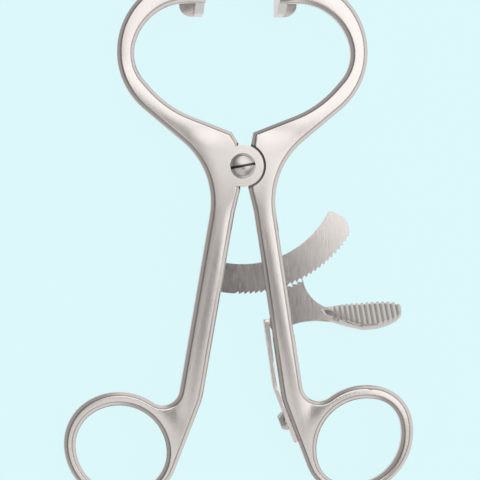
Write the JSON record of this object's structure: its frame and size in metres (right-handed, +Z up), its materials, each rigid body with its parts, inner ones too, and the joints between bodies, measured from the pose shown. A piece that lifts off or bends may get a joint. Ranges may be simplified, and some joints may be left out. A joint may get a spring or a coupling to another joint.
{
  "type": "mouth gag",
  "caption": "Ring-handled surgical mouth gag: two bowed levers on a lapped pivot, with lipped jaw blades, a toothed ratchet bar and a sprung thumb release.",
  "frame": {"origin": "on the surface it lies on, below the centre of its bounding box", "axes": "+Y from the finger rings towards the jaws, +Z up, towards the side with the pivot screw's head, +X towards the branch with the release lever; it lies on both blades' lips and both finger rings, so its plane leans 7.5 degrees"},
  "size_m": [0.0874, 0.135, 0.0206],
  "materials": {
    "forged_steel": "satin",
    "mechanism_steel": "satin",
    "spring_steel": "polished",
    "screw_steel": "polished"
  },
  "bodies": {
    "right_lever": {"right_branch": "forged_steel", "pivot_screw": "screw_steel", "lever_pin": "mechanism_steel", "leaf_spring": "spring_steel", "spring_screw": "screw_steel"},
    "left_lever": {"left_branch": "forged_steel", "ratchet_bar": "mechanism_steel", "ratchet_rivet": "mechanism_steel"},
    "release": {"release_lever": "mechanism_steel"}
  },
  "joints": [
    {"name": "branch_pivot", "type": "hinge", "parent": "right_lever", "child": "left_lever", "pos_m": [0.00086, 0.01587, 0.0127], "axis": [0, -0.1302, 0.9915], "range_deg": [-20, 16]},
    {"name": "lever_pivot", "type": "hinge", "parent": "right_lever", "child": "release", "pos_m": [0.00996, -0.02111, 0.00785], "axis": [0, -0.1302, 0.9915], "range_deg": [-10, 0], "stiffness_Nm_per_rad": 0.05, "springref_deg": 11.46, "deforming": ["leaf_spring"]}
  ]
}
